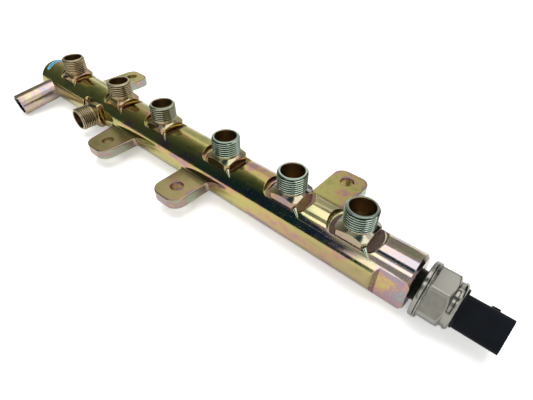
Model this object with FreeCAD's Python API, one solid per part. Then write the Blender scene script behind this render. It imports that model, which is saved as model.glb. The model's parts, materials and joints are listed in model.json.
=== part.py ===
import FreeCAD, Part
import math
import os

# High-pressure fuel rail of a six-cylinder diesel engine, with its pressure sensor in the open end.
# The rail is one forging: a round bar with six threaded outlets on top, one threaded inlet and one plain
# side tube on the front, and four fixing lugs, two low ones in front and two high ones behind.
# X runs along the rail from its closed end to the sensor, Y to the back, Z up through the outlets.
# Pieces are modelled round the rail's axis, with x = 0 at the last outlet, and are moved at the end so
# that the origin lies midway between the two front lug holes, on the face that the lugs seat with.

Vector = FreeCAD.Vector
X = Vector(1, 0, 0)
Y = Vector(0, 1, 0)
Z = Vector(0, 0, 1)
AXIS_POINT = Vector(0, 0, 0)

# Rail bar
rail_radius = 17.0
rail_open_end = 38.8
closed_end_beyond_tube = 17.9
rail_closed_round = 1.2
rail_open_chamfer = 1.7
main_bore_radius = 5.25
closed_end_wall = 10.0
drill_tip_half_angle = 59.0

# Threaded stubs: the outlets point up, the inlet points to the front
outlet_stations = [-302.0, -228.3, -170.9, -103.4, -47.0, 0.0]
inlet_station = -253.0
stub_reach = 32.2
stub_thread_radius = 9.525
stub_thread_length = 10.2
stub_rim_chamfer = 1.05
stub_relief_radius = 8.5
stub_relief_length = 0.6
stub_run_out = 0.6
stub_boss_radius = 13.2
stub_boss_shoulder = 17.2
stub_flat_half = 10.5
stub_flare_height = 18.6
socket_radius = 7.38
socket_depth = 11.0
socket_rim_break = 0.3
seat_half_angle = 30.0
throttle_radius = 1.5

# Milled pocket round each stub
pocket_radius = 17.4
pocket_floor = 12.8
pocket_corner = 2.1

# Fixing lugs: front pair low, back pair high
front_lug_stations = [-206.3, -120.5]
front_lug_hole_out = 32.8
front_lug_reach = 46.4
front_lug_half_width = 13.4
front_lug_corner = 9.0
front_lug_top = 0.0
front_lug_root_flare = 6.0
back_lug_stations = [-269.0, -28.3]
back_lug_hole_out = 35.5
back_lug_reach = 45.9
back_lug_half_width = 12.3
back_lug_corner = 7.0
back_lug_top = 12.0
lug_thickness = 7.8
lug_hole_radius = 4.6
lug_edge_round = 0.8
front_lug_root_round = 2.2
back_lug_root_round = 1.5
back_lug_web_rounds = [7.0, 3.2]

# Milled clamping flat beside the open end, with its slanted run-out
end_flat_out = 13.0
end_flat_length = 16.8

# Plain side tube, pressed and brazed into a seat bore
tube_station = -331.1
tube_droop = 7.7
tube_radius = 9.33
tube_wall = 1.7
tube_reach = 50.6
tube_seat_depth = 5.0
tube_spigot_radius = 9.0
tube_shoulder_stand = 0.4
tube_edge_break = 0.5
tube_mouth_chamfer = 0.7
tube_drain_radius = 2.0

# Pressure sensor port: nose, thread and flange
port_thread_radius = 8.9
port_thread_clearance = 0.1
port_depth = 18.8
port_seat_radius = 7.0
port_nose_tip_radius = 5.5
port_nose_gap = 0.3
port_nose_radius = 7.6
port_neck = 3.5
port_flange_radius = 16.3
port_flange_thickness = 3.5
port_flange_chamfer = 0.5
port_groove_place = 2.5
port_groove_depth = 0.5
port_groove_width = 0.5
port_passage_radius = 1.2
port_spigot_height = 1.0
port_boss_radius = 7.0
port_boss_height = 2.2
port_mouth_chamfer = 0.8

# Hexagonal sensor shell, crimped over the connector
shell_foot_radius = 15.9
shell_foot_height = 0.6
hex_across_flats = 28.0
hex_corner_round = 2.2
hex_height = 11.1
hex_chamfer_angle = 35.0
collar_radius = 13.4
collar_height = 3.2
collar_lip_round = 1.9
shell_bore_radius = 12.2
shell_lip_thickness = 1.7
shell_lip_clearance = 0.1
crimp_slot_width = 2.0
crimp_slot_depth = 0.6
crimp_slot_sweep = 50.0
crimp_slot_count = 4
hex_clocking = 7.4
crimp_clocking = 6.8
sensor_clocking = 41.1

# Inner pieces of the sensor
element_radius = 4.0
element_height = 4.6
element_cavity_radius = 1.6
membrane_thickness = 0.7
gauge_side = 3.0
gauge_thickness = 0.25
holder_wall = 2.3
inner_clearance = 0.4
holder_height = 6.6
board_thickness = 1.0
board_window_radius = 1.2
chip_length = 4.0
chip_width = 3.0
chip_height = 1.0
chip_out = 6.6
capacitor_length = 2.0
capacitor_width = 1.2
capacitor_height = 0.9
capacitor_out = 7.6
capacitor_spread = 2.2

# Connector, its contact pins and their springs
plug_radius = 10.4
plug_height = 1.9
connector_flange_height = 1.5
connector_flange_clearance = 0.1
connector_collar_radius = 11.05
connector_collar_stand = 1.1
connector_length = 21.7
connector_width = 18.7
connector_depth = 14.0
connector_offset = -1.0
connector_corner = 2.4
connector_wall = 1.7
connector_socket_depth = 17.5
latch_start = 10.9
latch_length = 3.8
latch_height = 1.0
latch_width = 6.0
seal_section_radius = 0.85
seal_gap = 0.05
pin_pitch = 4.0
pin_width = 1.5
pin_thickness = 0.63
pin_reach = 11.0
pin_point = 0.8
pin_foot_radius = 1.3
pin_foot_height = 0.6
spring_strip = 0.25
spring_width = 1.2
spring_sway = 1.1

# Stations along the axis that follow from the sizes above
rail_closed_end = tube_station - closed_end_beyond_tube
port_seat_x = rail_open_end - port_depth
flange_x = rail_open_end + port_neck
shell_x = flange_x + port_flange_thickness
collar_x = shell_x + shell_foot_height + hex_height
lip_end_x = collar_x + collar_height + shell_lip_thickness / 2
lip_x = lip_end_x - shell_lip_thickness
element_x = shell_x + port_boss_height
holder_x = shell_x + port_spigot_height
board_x = holder_x + holder_height
board_top_x = board_x + board_thickness
connector_flange_x = lip_x - connector_flange_height
plug_x = connector_flange_x - plug_height
connector_x = lip_end_x + connector_collar_stand
socket_floor_x = connector_x + connector_length - connector_socket_depth
inner_radius = shell_bore_radius - inner_clearance

# Shift from the modelling frame to the part's own frame
front_pair_middle = sum(front_lug_stations) / len(front_lug_stations)
own_origin = Vector(front_pair_middle, -front_lug_hole_out, front_lug_top - lug_thickness)


def turned(points, place=AXIS_POINT, direction=X):
    """Solid turned from (along, radius) points, or from (start, middle, end) arcs, closed on its axis."""
    edges = []
    pen = None
    for item in points:
        is_arc = isinstance(item[0], tuple)
        first = item[0] if is_arc else item
        here = Vector(first[0], first[1], 0)
        if pen is not None and pen.distanceToPoint(here) > 1e-7:
            edges.append(Part.LineSegment(pen, here).toShape())
        pen = here
        if is_arc:
            middle = Vector(item[1][0], item[1][1], 0)
            pen = Vector(item[2][0], item[2][1], 0)
            edges.append(Part.Arc(here, middle, pen).toShape())
    start = edges[0].Vertexes[0].Point
    if pen.distanceToPoint(start) > 1e-7:
        edges.append(Part.LineSegment(pen, start).toShape())
    profile = Part.Face(Part.Wire(Part.__sortEdges__(edges)))
    solid = profile.revolve(AXIS_POINT, X, 360)
    if solid.Volume < 0:
        solid.reverse()
    solid.Placement = FreeCAD.Placement(place, FreeCAD.Rotation(X, direction))
    return solid


def corner_arc(start, corner, end, centre):
    """Arc item for turned(): from start to end round centre, bulging towards corner."""
    toward = Vector(corner[0] - centre[0], corner[1] - centre[1], 0)
    radius = math.hypot(start[0] - centre[0], start[1] - centre[1])
    middle = Vector(centre[0], centre[1], 0) + toward.normalize() * radius
    return (start, (middle.x, middle.y), end)


def block(low, high):
    """Box between two corners."""
    size = high - low
    return Part.makeBox(size.x, size.y, size.z, low)


def prism(outline, height):
    """Straight prism over a closed outline of points in the XY plane."""
    face = Part.Face(Part.makePolygon(outline + [outline[0]]))
    return face.extrude(height)


def clocked(shape):
    """Turn a sensor piece about the rail's axis to the angle that it is tightened to."""
    shape.rotate(AXIS_POINT, X, sensor_clocking)
    return shape


def to_the_front(shape, station):
    """Turn a stub feature that points up so that it points to the front, and move it to its station."""
    shape.rotate(AXIS_POINT, X, 90)
    shape.translate(X * station)
    return shape


def stub_body():
    """Threaded stub on its squared boss, pointing up from the rail's axis."""
    thread_top = stub_reach - stub_rim_chamfer
    thread_foot = thread_top - stub_thread_length
    relief_top = thread_foot - stub_run_out
    relief_foot = relief_top - stub_relief_length
    profile = [
        (0, 0),
        (0, stub_boss_radius),
        (
            (stub_boss_shoulder, stub_boss_radius),
            (stub_flare_height, stub_flat_half),
            (relief_foot, stub_relief_radius),
        ),
        (relief_top, stub_relief_radius),
        (thread_foot, stub_thread_radius),
        (thread_top, stub_thread_radius),
        (stub_reach, stub_thread_radius - stub_rim_chamfer),
        (stub_reach, 0),
    ]
    stub = turned(profile, AXIS_POINT, Z)
    half = stub_flat_half
    squared = block(Vector(-half, -half, 0), Vector(half, half, relief_foot))
    above = block(Vector(-half, -half, relief_foot), Vector(half, half, stub_reach))
    return stub.common(squared.fuse(above).removeSplitter())


def stub_drilling():
    """Socket, conical seat and throttle bore of a stub, down to the rail's main bore."""
    seat_top = stub_reach - socket_depth
    seat_length = (socket_radius - throttle_radius) / math.tan(math.radians(seat_half_angle))
    profile = [
        (0, 0),
        (0, throttle_radius),
        (seat_top - seat_length, throttle_radius),
        (seat_top, socket_radius),
        (stub_reach - socket_rim_break, socket_radius),
        (stub_reach, socket_radius + socket_rim_break),
        (stub_reach, 0),
    ]
    return turned(profile, AXIS_POINT, Z)


def stub_pocket():
    """Round milling cut that leaves the flat floor and the curved walls round a stub."""
    low = pocket_floor
    side = pocket_radius - pocket_corner
    bend = corner_arc(
        (low, side), (low, pocket_radius), (low + pocket_corner, pocket_radius), (low + pocket_corner, side)
    )
    profile = [(low, 0), bend, (stub_reach, pocket_radius), (stub_reach, 0)]
    return turned(profile, AXIS_POINT, Z)


def lug(half_width, reach, corner, top, root_flare):
    """Fixing lug as a plate that points to the front from the rail's axis, with rounded free corners."""
    bottom = top - lug_thickness
    inner_left = Vector(-half_width - root_flare, 0, bottom)
    deep_left = Vector(-half_width - root_flare, -rail_radius / 2, bottom)
    centre_left = Vector(-half_width + corner, -reach + corner, bottom)
    away = deep_left - centre_left
    heading = math.atan2(away.y, away.x) + math.acos(corner / away.Length)
    middle_heading = (heading + math.radians(270)) / 2
    side_left = centre_left + Vector(math.cos(heading), math.sin(heading), 0) * corner
    middle_left = centre_left + Vector(math.cos(middle_heading), math.sin(middle_heading), 0) * corner
    end_left = Vector(-half_width + corner, -reach, bottom)
    end_right = Vector(half_width - corner, -reach, bottom)
    side_right = Vector(half_width, -reach + corner, bottom)
    inner_right = Vector(half_width, 0, bottom)
    deep_right = Vector(half_width, -rail_radius / 2, bottom)
    bulge = corner * math.sqrt(0.5)
    middle_right = Vector(half_width - corner + bulge, -reach + corner - bulge, bottom)
    edges = [
        Part.LineSegment(side_left, deep_left).toShape(),
        Part.LineSegment(deep_left, inner_left).toShape(),
        Part.LineSegment(inner_left, inner_right).toShape(),
        Part.LineSegment(inner_right, deep_right).toShape(),
        Part.LineSegment(deep_right, side_right).toShape(),
        Part.Arc(side_right, middle_right, end_right).toShape(),
        Part.LineSegment(end_right, end_left).toShape(),
        Part.Arc(end_left, middle_left, side_left).toShape(),
    ]
    plate = Part.Face(Part.Wire(edges)).extrude(Z * lug_thickness)
    rims = [edge for edge in plate.Edges if lug_rim(edge, bottom, top)]
    return plate.makeFillet(lug_edge_round, rims)


def lug_rim(edge, bottom, top):
    """Whether an edge belongs to a lug's upper or lower outline outside the rail."""
    box = edge.BoundBox
    level = box.ZLength < 1e-6
    outside = box.Center.y < -rail_radius / 2 - 1e-6
    at_face = abs(box.ZMin - bottom) < 1e-6 or abs(box.ZMin - top) < 1e-6
    return level and outside and at_face


def on_bar_surface(edge):
    """Whether an edge runs over the bar's round surface between its ends, as a lug's root does."""
    first, last = edge.ParameterRange
    steps = 4
    for step in range(steps + 1):
        point = edge.valueAt(first + (last - first) * step / steps)
        if abs(math.hypot(point.y, point.z) - rail_radius) > 1e-4:
            return False
    return edge.BoundBox.XMin > rail_closed_end + 1e-3 and edge.BoundBox.XMax < rail_open_end - 1e-3


def root_web(half_width, top, web_round):
    """Hollow rounding that runs from the top of a back lug up into the bar, over the lug's flat width."""
    away = rail_radius + web_round
    rise = top + web_round
    out = math.sqrt(away * away - rise * rise)
    centre = Vector(-half_width, out, rise)
    on_lug = Vector(-half_width, out, top)
    on_bar = Vector(-half_width, out * rail_radius / away, rise * rail_radius / away)
    corner = Vector(-half_width, math.sqrt(rail_radius * rail_radius - top * top), top)
    middle = centre + (corner - centre).normalize() * web_round
    deep = lug_thickness / 4
    in_bar = corner - Vector(0, deep, deep)
    in_lug = on_lug - Vector(0, 0, deep)
    edges = [
        Part.Arc(on_lug, middle, on_bar).toShape(),
        Part.LineSegment(on_bar, in_bar).toShape(),
        Part.LineSegment(in_bar, in_lug).toShape(),
        Part.LineSegment(in_lug, on_lug).toShape(),
    ]
    return Part.Face(Part.Wire(edges)).extrude(X * (2 * half_width))


def lugged_bar():
    """Round bar with its four lugs and their root fillets."""
    length = rail_open_end - rail_closed_end
    bar = Part.makeCylinder(rail_radius, length, Vector(rail_closed_end, 0, 0), X)
    plates = []
    for index, station in enumerate(front_lug_stations):
        flare = front_lug_root_flare if index == 0 else 0.0
        plate = lug(front_lug_half_width, front_lug_reach, front_lug_corner, front_lug_top, flare)
        plate.translate(X * station)
        plates.append(plate)
    for station in back_lug_stations:
        plate = lug(back_lug_half_width, back_lug_reach, back_lug_corner, lug_thickness - back_lug_top, 0.0)
        plate.rotate(AXIS_POINT, X, 180)
        plate.translate(X * station)
        plates.append(plate)
    joined = bar.multiFuse(plates).removeSplitter()
    roots = [edge for edge in joined.Edges if on_bar_surface(edge)]
    front_roots = [edge for edge in roots if edge.BoundBox.Center.y < 0 and edge.BoundBox.XLength < length / 2]
    joined = joined.makeFillet(front_lug_root_round, front_roots)
    roots = [edge for edge in joined.Edges if on_bar_surface(edge)]
    back_roots = [edge for edge in roots if edge.BoundBox.Center.y > 0 and edge.BoundBox.XLength < length / 2]
    joined = joined.makeFillet(back_lug_root_round, back_roots)
    webs = []
    for station, web_round in zip(back_lug_stations, back_lug_web_rounds):
        web = root_web(back_lug_half_width - lug_edge_round, back_lug_top, web_round)
        web.translate(X * station)
        webs.append(web)
    return joined.multiFuse(webs)


def lug_holes():
    """Through holes of the four lugs."""
    holes = []
    for station in front_lug_stations:
        foot = Vector(station, -front_lug_hole_out, front_lug_top - lug_thickness)
        holes.append(Part.makeCylinder(lug_hole_radius, lug_thickness, foot, Z))
    for station in back_lug_stations:
        foot = Vector(station, back_lug_hole_out, back_lug_top - lug_thickness)
        holes.append(Part.makeCylinder(lug_hole_radius, lug_thickness, foot, Z))
    return holes


def tube_direction():
    """Unit vector from the rail's axis out along the side tube."""
    droop = math.radians(tube_droop)
    return Vector(0, -math.cos(droop), -math.sin(droop))


def tube_seat():
    """Seat bore, mouth chamfer and drain drilling for the side tube."""
    bottom = rail_radius - tube_seat_depth
    mouth = rail_radius - tube_mouth_chamfer
    profile = [
        (0, 0),
        (0, tube_drain_radius),
        (bottom, tube_drain_radius),
        (bottom, tube_spigot_radius),
        (mouth, tube_spigot_radius),
        (rail_radius + tube_mouth_chamfer, tube_spigot_radius + 2 * tube_mouth_chamfer),
        (rail_radius + tube_mouth_chamfer, 0),
    ]
    return turned(profile, Vector(tube_station, 0, 0), tube_direction())


def main_bore():
    """Blind bore of the rail with its drill tip, and the port that the sensor is screwed into."""
    bore_end = rail_closed_end + closed_end_wall
    tip = main_bore_radius / math.tan(math.radians(drill_tip_half_angle))
    seat_length = (port_seat_radius - main_bore_radius) / math.tan(math.radians(seat_half_angle))
    port_radius = port_thread_radius + port_thread_clearance
    profile = [
        (bore_end, 0),
        (bore_end + tip, main_bore_radius),
        (port_seat_x - seat_length, main_bore_radius),
        (port_seat_x, port_seat_radius),
        (port_seat_x, port_radius),
        (rail_open_end - port_mouth_chamfer, port_radius),
        (rail_open_end, port_radius + port_mouth_chamfer),
        (rail_open_end, 0),
    ]
    return turned(profile)


def end_flat_cut():
    """Milling cut for the flat beside the open end, ending in a slanted run-out."""
    far = rail_radius + 1.0
    start = rail_open_end - end_flat_length
    rise = far - end_flat_out
    outline = [
        Vector(start, -end_flat_out, -far),
        Vector(start - rise, -far, -far),
        Vector(rail_open_end + 1.0, -far, -far),
        Vector(rail_open_end + 1.0, -end_flat_out, -far),
    ]
    return prism(outline, Z * (2 * far))


def bar_end_trim():
    """Turned envelope that rounds the closed end and chamfers the open end of the bar."""
    wide = max(front_lug_reach, back_lug_reach, stub_reach, tube_reach) * 2
    start = rail_closed_end
    bend = corner_arc(
        (start, rail_radius - rail_closed_round),
        (start, rail_radius),
        (start + rail_closed_round, rail_radius),
        (start + rail_closed_round, rail_radius - rail_closed_round),
    )
    profile = [
        (start, 0),
        bend,
        (start + rail_closed_round, wide),
        (rail_open_end - rail_open_chamfer, wide),
        (rail_open_end - rail_open_chamfer, rail_radius),
        (rail_open_end, rail_radius - rail_open_chamfer),
        (rail_open_end, 0),
    ]
    return turned(profile)


def rail_body():
    """The forging with all its machining."""
    body = lugged_bar()
    pockets = []
    stubs = []
    drillings = []
    for station in outlet_stations:
        for maker, group in ((stub_pocket, pockets), (stub_body, stubs), (stub_drilling, drillings)):
            feature = maker()
            feature.translate(X * station)
            group.append(feature)
    for maker, group in ((stub_pocket, pockets), (stub_body, stubs), (stub_drilling, drillings)):
        group.append(to_the_front(maker(), inlet_station))
    body = body.cut(pockets)
    body = body.common(bar_end_trim())
    body = body.cut(end_flat_cut())
    body = body.multiFuse(stubs)
    body = body.cut(drillings + lug_holes() + [main_bore(), tube_seat()])
    return body.removeSplitter()


def side_tube():
    """Plain open tube with a turned spigot in its seat bore."""
    bottom = rail_radius - tube_seat_depth
    shoulder = rail_radius + tube_shoulder_stand
    inner = tube_radius - tube_wall
    profile = [
        (bottom, inner),
        (bottom, tube_spigot_radius),
        (shoulder, tube_spigot_radius),
        (shoulder, tube_radius),
        (tube_reach - tube_edge_break, tube_radius),
        (tube_reach, tube_radius - tube_edge_break),
        (tube_reach, inner + tube_edge_break),
        (tube_reach - tube_edge_break, inner),
    ]
    return turned(profile, Vector(tube_station, 0, 0), tube_direction())


def sensor_port():
    """Steel port of the sensor: conical nose, screw neck, grooved flange and the boss for the element."""
    nose_slope = math.tan(math.radians(seat_half_angle))
    tip_x = port_seat_x - (port_seat_radius - port_nose_tip_radius) / nose_slope
    thread_x = port_seat_x + port_nose_gap
    run_in = port_thread_radius - port_nose_radius
    groove_low = flange_x + port_groove_place - port_groove_width / 2
    groove_high = groove_low + port_groove_width
    groove_floor = port_flange_radius - port_groove_depth
    spigot_radius = inner_radius
    profile = [
        (tip_x, port_passage_radius),
        (tip_x, port_nose_tip_radius),
        (port_seat_x, port_seat_radius),
        (thread_x, port_seat_radius),
        (thread_x, port_nose_radius),
        (thread_x + run_in, port_thread_radius),
        (flange_x, port_thread_radius),
        (flange_x, port_flange_radius - port_flange_chamfer),
        (flange_x + port_flange_chamfer, port_flange_radius),
        (groove_low, port_flange_radius),
        (groove_low, groove_floor),
        (groove_high, groove_floor),
        (groove_high, port_flange_radius),
        (shell_x, port_flange_radius),
        (shell_x, spigot_radius),
        (holder_x, spigot_radius),
        (holder_x, port_boss_radius),
        (element_x, port_boss_radius),
        (element_x, port_passage_radius),
    ]
    return turned(profile)


def sensor_element():
    """Steel measuring cap welded on the port, with its thin membrane over the pressure passage."""
    top = element_x + element_height
    profile = [
        (element_x, element_cavity_radius),
        (element_x, element_radius),
        (top, element_radius),
        (top, 0),
        (top - membrane_thickness, 0),
        (top - membrane_thickness, element_cavity_radius),
    ]
    return turned(profile)


def sensor_gauge():
    """Strain gauge bridge on the membrane."""
    base = element_x + element_height
    half = gauge_side / 2
    return block(Vector(base, -half, -half), Vector(base + gauge_thickness, half, half))


def hexagon(start, end):
    """Hexagonal bar along X with rounded long edges, turned to its clocking angle."""
    corner = hex_across_flats / 2 / math.cos(math.radians(30))
    outline = []
    for step in range(6):
        angle = math.radians(90 - hex_clocking + 60 * step)
        outline.append(Vector(start, corner * math.cos(angle), corner * math.sin(angle)))
    face = Part.Face(Part.makePolygon(outline + [outline[0]]))
    bar = face.extrude(X * (end - start))
    long_edges = [edge for edge in bar.Edges if edge.BoundBox.XLength > (end - start) / 2]
    return bar.makeFillet(hex_corner_round, long_edges)


def crimp_slots():
    """Round-ended crimping slots pressed into the collar, spaced round it."""
    middle = collar_x + collar_height / 4
    floor = collar_radius - crimp_slot_depth
    half = crimp_slot_width / 2
    slots = []
    for step in range(crimp_slot_count):
        start = 90 - crimp_clocking - crimp_slot_sweep / 2 + step * 360 / crimp_slot_count
        low = Vector(middle - half, floor, 0)
        high = Vector(middle + half, floor, 0)
        rise = Vector(0, 2 * crimp_slot_depth + half, 0)
        window = Part.Face(Part.makePolygon([low, high, high + rise, low + rise, low]))
        band = window.revolve(AXIS_POINT, X, crimp_slot_sweep)
        ends = []
        for turn in (0, crimp_slot_sweep):
            end = Part.makeCylinder(half, rise.y, Vector(middle, floor, 0), Y)
            end.rotate(AXIS_POINT, X, turn)
            ends.append(end)
        slot = band.multiFuse(ends)
        slot.rotate(AXIS_POINT, X, start)
        slots.append(slot)
    return slots


def sensor_shell():
    """Hexagonal shell whose collar is crimped over the connector's flange."""
    hex_x = shell_x + shell_foot_height
    widest = hex_across_flats
    slope = math.tan(math.radians(hex_chamfer_angle))
    chamfer_run = (widest - collar_radius) * slope
    bend = corner_arc(
        (lip_end_x - collar_lip_round, collar_radius),
        (lip_end_x, collar_radius),
        (lip_end_x, collar_radius - collar_lip_round),
        (lip_end_x - collar_lip_round, collar_radius - collar_lip_round),
    )
    envelope = turned([
        (hex_x, 0),
        (hex_x, widest),
        (collar_x - chamfer_run, widest),
        (collar_x, collar_radius),
        bend,
        (lip_end_x, 0),
    ])
    body = hexagon(hex_x, lip_end_x + 1.0)
    body = body.common(envelope)
    foot = Part.makeCylinder(shell_foot_radius, shell_foot_height, Vector(shell_x, 0, 0), X)
    lip_hole = connector_collar_radius + shell_lip_clearance
    inside = turned([
        (shell_x, 0),
        (shell_x, shell_bore_radius),
        (lip_x, shell_bore_radius),
        (lip_x, lip_hole),
        (lip_end_x, lip_hole),
        (lip_end_x, 0),
    ])
    body = body.fuse(foot).cut([inside] + crimp_slots()).removeSplitter()
    return clocked(body)


def sensor_board_holder():
    """Moulded ring that carries the circuit board above the measuring cap."""
    profile = [
        (holder_x, inner_radius - holder_wall),
        (holder_x, inner_radius),
        (board_x, inner_radius),
        (board_x, inner_radius - holder_wall),
    ]
    return turned(profile)


def sensor_board():
    """Round circuit board with a window over the strain gauge."""
    profile = [
        (board_x, board_window_radius),
        (board_x, inner_radius),
        (board_top_x, inner_radius),
        (board_top_x, board_window_radius),
    ]
    return turned(profile)


def sensor_board_chip():
    """Signal amplifier chip on the board."""
    half = chip_width / 2
    low = Vector(board_top_x, -half, -chip_out - chip_length / 2)
    high = Vector(board_top_x + chip_height, half, -chip_out + chip_length / 2)
    return clocked(block(low, high))


def sensor_capacitor(side):
    """One of the two capacitors on the board, on the given side of the chip's line."""
    middle = Vector(board_top_x, side * capacitor_spread, capacitor_out)
    low = middle - Vector(0, capacitor_width / 2, capacitor_length / 2)
    high = middle + Vector(capacitor_height, capacitor_width / 2, capacitor_length / 2)
    return clocked(block(low, high))


def pin_place(index):
    """Distance of a contact pin from the rail's axis, across the connector."""
    return connector_offset + (index - 1) * pin_pitch


def contact_spring(index):
    """Strip spring bent to a Z that joins the board to the foot of one contact pin."""
    height = plug_x - board_top_x
    strip = spring_strip
    sway = spring_sway
    outline = [
        (0, -sway),
        (0, sway),
        (strip, sway),
        (height - strip, -sway + strip * 1.5),
        (height - strip, sway),
        (height, sway),
        (height, -sway),
        (height - strip, -sway),
        (strip, sway - strip * 1.5),
        (strip, -sway),
    ]
    points = [Vector(board_top_x + x, pin_place(index) + y, -spring_width / 2) for x, y in outline]
    return clocked(prism(points, Z * spring_width))


def connector_pin(index):
    """Flat contact pin: a round foot under the connector floor and a pointed blade in its socket."""
    offset = pin_place(index)
    foot = Part.makeCylinder(pin_foot_radius, pin_foot_height, Vector(plug_x, offset, 0), X)
    half_width = pin_width / 2
    half_thick = pin_thickness / 2
    shank_x = plug_x + pin_foot_height
    end_x = socket_floor_x + pin_reach
    outline = [
        Vector(shank_x, offset - half_width, -half_thick),
        Vector(end_x - pin_point, offset - half_width, -half_thick),
        Vector(end_x, offset - half_width / 3, -half_thick),
        Vector(end_x, offset + half_width / 3, -half_thick),
        Vector(end_x - pin_point, offset + half_width, -half_thick),
        Vector(shank_x, offset + half_width, -half_thick),
    ]
    blade = prism(outline, Z * pin_thickness)
    return foot.fuse(blade).removeSplitter()


def connector_section(grow, start, length):
    """Rounded rectangular bar of the connector's outline, grown or shrunk all round."""
    half_width = connector_width / 2 + grow
    half_depth = connector_depth / 2 + grow
    low = Vector(start, connector_offset - half_width, -half_depth)
    high = Vector(start + length, connector_offset + half_width, half_depth)
    bar = block(low, high)
    long_edges = [edge for edge in bar.Edges if edge.BoundBox.XLength > length / 2]
    return bar.makeFillet(connector_corner + grow, long_edges)


def sensor_connector():
    """Moulded connector housing: sealed plug, crimped flange, collar and open socket with its latch."""
    flange_radius = shell_bore_radius - connector_flange_clearance
    base = turned([
        (plug_x, 0),
        (plug_x, plug_radius),
        (connector_flange_x, plug_radius),
        (connector_flange_x, flange_radius),
        (lip_x, flange_radius),
        (lip_x, connector_collar_radius),
        (connector_x, connector_collar_radius),
        (connector_x, 0),
    ])
    outside = connector_section(0, connector_x, connector_length)
    inside = connector_section(-connector_wall, socket_floor_x, connector_socket_depth)
    latch_base = connector_offset + connector_width / 2
    latch_low = Vector(connector_x + latch_start, latch_base - connector_wall / 2, -latch_width / 2)
    latch_high = Vector(
        connector_x + latch_start + latch_length, latch_base + latch_height, latch_width / 2
    )
    housing = base.multiFuse([outside, block(latch_low, latch_high)]).cut(inside)
    pins = [connector_pin(index) for index in range(3)]
    return clocked(housing.cut(pins).removeSplitter())


def sensor_seal():
    """Sealing ring round the connector's plug, under its flange."""
    inner = plug_radius + seal_gap
    outer = inner + 2 * seal_section_radius
    high = connector_flange_x - seal_gap
    low = high - 2 * seal_section_radius
    bevel = seal_section_radius * (2 - math.sqrt(2))
    profile = [
        (low, inner + bevel),
        (low + bevel, inner),
        (high - bevel, inner),
        (high, inner + bevel),
        (high, outer - bevel),
        (high - bevel, outer),
        (low + bevel, outer),
        (low, outer - bevel),
    ]
    return turned(profile)


def export(name, shape):
    """Move a finished piece into the part's own frame and write it."""
    shape.translate(own_origin * -1)
    shape.exportStep("parts/" + name + ".step")
    print(name, "solids", len(shape.Solids), "valid", shape.isValid(), "volume", round(shape.Volume, 2))


os.makedirs("parts", exist_ok=True)
export("rail_body", rail_body())
export("side_tube", side_tube())
export("sensor_port", sensor_port())
export("sensor_element", sensor_element())
export("sensor_gauge", sensor_gauge())
export("sensor_shell", sensor_shell())
export("sensor_board_holder", sensor_board_holder())
export("sensor_board", sensor_board())
export("sensor_board_chip", sensor_board_chip())
for number, side in ((1, -1), (2, 1)):
    export("sensor_capacitor_%d" % number, sensor_capacitor(side))
export("sensor_seal", sensor_seal())
export("sensor_connector", sensor_connector())
for index in range(3):
    export("contact_spring_%d" % (index + 1), contact_spring(index))
    export("connector_pin_%d" % (index + 1), clocked(connector_pin(index)))
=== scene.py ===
"""Looks of the high-pressure fuel rail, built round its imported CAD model."""

import json
import math

import bpy
from mathutils import Matrix, Vector
from mathutils.kdtree import KDTree

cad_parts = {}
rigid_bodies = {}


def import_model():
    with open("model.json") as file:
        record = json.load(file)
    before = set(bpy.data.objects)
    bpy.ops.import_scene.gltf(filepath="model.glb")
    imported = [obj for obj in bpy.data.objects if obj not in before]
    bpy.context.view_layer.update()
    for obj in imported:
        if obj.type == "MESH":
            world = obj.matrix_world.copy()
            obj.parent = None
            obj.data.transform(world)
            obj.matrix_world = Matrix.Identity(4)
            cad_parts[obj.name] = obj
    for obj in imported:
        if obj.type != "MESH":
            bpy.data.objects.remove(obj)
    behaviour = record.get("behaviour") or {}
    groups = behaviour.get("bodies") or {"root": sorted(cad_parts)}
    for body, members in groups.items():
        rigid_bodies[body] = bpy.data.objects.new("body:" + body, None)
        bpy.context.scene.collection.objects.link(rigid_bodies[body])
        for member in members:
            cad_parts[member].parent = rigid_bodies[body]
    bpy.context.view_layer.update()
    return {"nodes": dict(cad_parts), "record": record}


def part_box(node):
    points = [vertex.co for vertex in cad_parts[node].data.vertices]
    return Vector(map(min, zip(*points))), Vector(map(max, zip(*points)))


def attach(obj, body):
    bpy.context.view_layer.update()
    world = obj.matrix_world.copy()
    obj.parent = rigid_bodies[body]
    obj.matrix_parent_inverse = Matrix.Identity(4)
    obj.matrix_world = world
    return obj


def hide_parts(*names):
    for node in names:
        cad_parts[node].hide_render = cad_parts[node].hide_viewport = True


bl_info = {
    "name": "Fuel rail looks",
    "version": (1, 0, 0),
    "blender": (4, 5, 0),
    "location": "View3D > Sidebar > Fuel rail",
    "description": "Cuts the screw threads of a packed fuel rail, finishes its pieces and lights it",
    "category": "Object",
}

for leftover in list(bpy.data.objects):
    bpy.data.objects.remove(leftover)
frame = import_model()

MM = 0.001
MOUNTS = {mount["name"]: mount for mount in frame["record"]["mounts"]}
OUTLETS = [MOUNTS[name] for name in sorted(MOUNTS) if name.startswith("outlet") and name.endswith("thread")]
INLET = MOUNTS["inlet_thread"]
LUG_HOLES = [MOUNTS["front_lug_holes"], MOUNTS["back_lug_holes"]]

# The rail's axis runs along X at this place, half way up the inlet's thread
RAIL_AXIS_Y = OUTLETS[0]["pos_m"][1]
RAIL_AXIS_Z = INLET["pos_m"][2]
RAIL_RADIUS = 0.017

# What is further than this from the rail's axis belongs to a lug or to a burr and no more to the round bar
BAR_REACH = 1.01 * RAIL_RADIUS

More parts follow.
